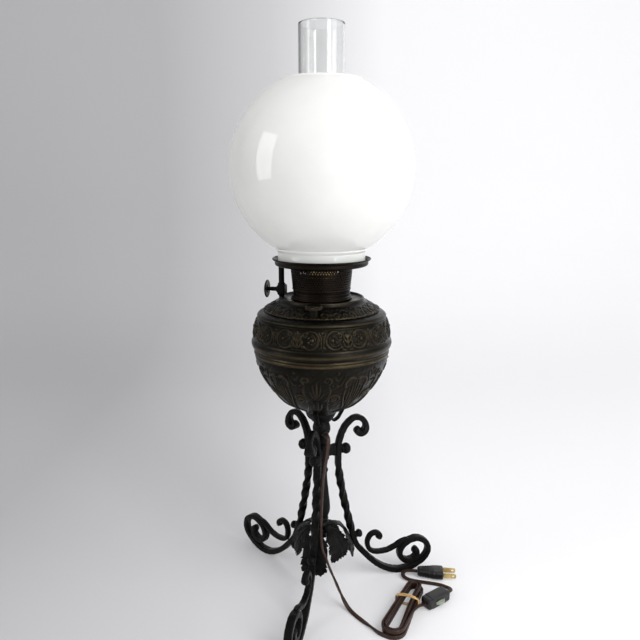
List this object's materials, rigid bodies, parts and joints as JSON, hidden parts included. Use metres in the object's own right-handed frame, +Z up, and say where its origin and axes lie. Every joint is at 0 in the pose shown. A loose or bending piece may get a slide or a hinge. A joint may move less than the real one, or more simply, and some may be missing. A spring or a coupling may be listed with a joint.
{
  "type": "banquet lamp",
  "caption": "Oil banquet lamp wired for a bulb: opal ball, tall chimney, embossed metal font, scrolled iron tripod, flat cord tied in a hank.",
  "frame": {"origin": "on the floor, under the middle of the lamp's own box, with the cord and what is on it left out; the lamp's axis is 24.1 mm behind it", "axes": "+Z up the lamp's axis; the front foot points to -Y, the wick knob to -X; the cord lies at +X"},
  "size_m": [0.3004, 0.2535, 0.6704],
  "materials": {
    "iron": "blackened wrought iron, satin with a little brown",
    "bronze": "dark bronze patina, rubbed brassy on the relief",
    "copper": "dull dark copper brown",
    "brass": "plain brass",
    "cotton": "woven cotton",
    "opal_glass": "gloss white opal",
    "clear_glass": "clear, gloss",
    "cord": "dark brown flat two-wire cord, satin",
    "rubber_band": "tan rubber",
    "black_plastic": "black, satin",
    "wheel_plastic": "pale grey green"
  },
  "bodies": {
    "stand": {"leg_front": "iron", "foot_scroll_front": "iron", "upper_leg_bolt_front": "iron", "lower_leg_bolt_front": "iron", "leg_leaf_front": "iron", "leg_right": "iron", "foot_scroll_right": "iron", "upper_leg_bolt_right": "iron", "lower_leg_bolt_right": "iron", "leg_leaf_right": "iron", "leg_left": "iron", "foot_scroll_left": "iron", "upper_leg_bolt_left": "iron", "lower_leg_bolt_left": "iron", "leg_leaf_left": "iron", "leaf_front_right": "iron", "leaf_back": "iron", "leaf_front_left": "iron", "lower_hub": "iron", "pipe_nut": "iron", "column": "iron", "upper_hub": "iron", "neck_bulb": "iron", "centre_pipe": "iron", "font_cup": "iron", "lower_bowl": "bronze", "upper_shell": "bronze", "font_tank": "bronze", "tank_top": "bronze", "raiser_housing": "bronze", "rack_tube": "bronze", "draft_tube": "copper", "wick_tube": "copper", "burner_collar": "copper", "gallery": "copper", "shade_ring": "copper", "filler_neck": "brass", "lamp_socket": "brass", "plug_blade_near": "brass", "plug_blade_far": "brass", "lamp_bulb": "clear_glass", "inner_lead": "cord", "cord_lead": "cord", "cord_hank": "cord", "cord_tail": "cord", "cord_to_plug": "cord", "hank_band": "rubber_band", "lead_bushing": "black_plastic", "switch_lower": "black_plastic", "switch_upper": "black_plastic", "plug_body": "black_plastic"},
    "knob": {"pinion_shaft": "bronze", "wick_knob": "bronze"},
    "wick_lift": {"rack_bar": "copper", "wick_carrier": "copper", "wick": "cotton"},
    "filler_lid": {"filler_cap": "bronze"},
    "glass_chimney": {"chimney": "clear_glass"},
    "glass_shade": {"ball_shade": "opal_glass"},
    "thumb_wheel": {"switch_wheel": "wheel_plastic"}
  },
  "joints": [
    {"name": "knob_turn", "type": "hinge", "parent": "stand", "child": "knob", "pos_m": [-0.0472, 0.02405, 0.38231], "axis": [-1, 0, 0], "range_deg": [0, 352.6]},
    {"name": "wick_rise", "type": "slide", "parent": "stand", "child": "wick_lift", "axis": [0, 0, 1], "range_m": [0, 0.018]},
    {"name": "cap_lift", "type": "slide", "parent": "stand", "child": "filler_lid", "axis": [0, 0, 1], "range_m": [0, 0.015]},
    {"name": "chimney_lift", "type": "slide", "parent": "stand", "child": "glass_chimney", "axis": [0, 0, 1], "range_m": [0, 0.22]},
    {"name": "shade_lift", "type": "slide", "parent": "stand", "child": "glass_shade", "axis": [0, 0, 1], "range_m": [0, 0.28]},
    {"name": "wheel_turn", "type": "hinge", "parent": "stand", "child": "thumb_wheel", "pos_m": [0.14776, 0.01924, 0.007], "axis": [0, 0, 1], "continuous": true}
  ],
  "couplings": [
    {"joint": "knob_turn", "follows": "wick_rise", "rad_per_m": 341.88}
  ]
}
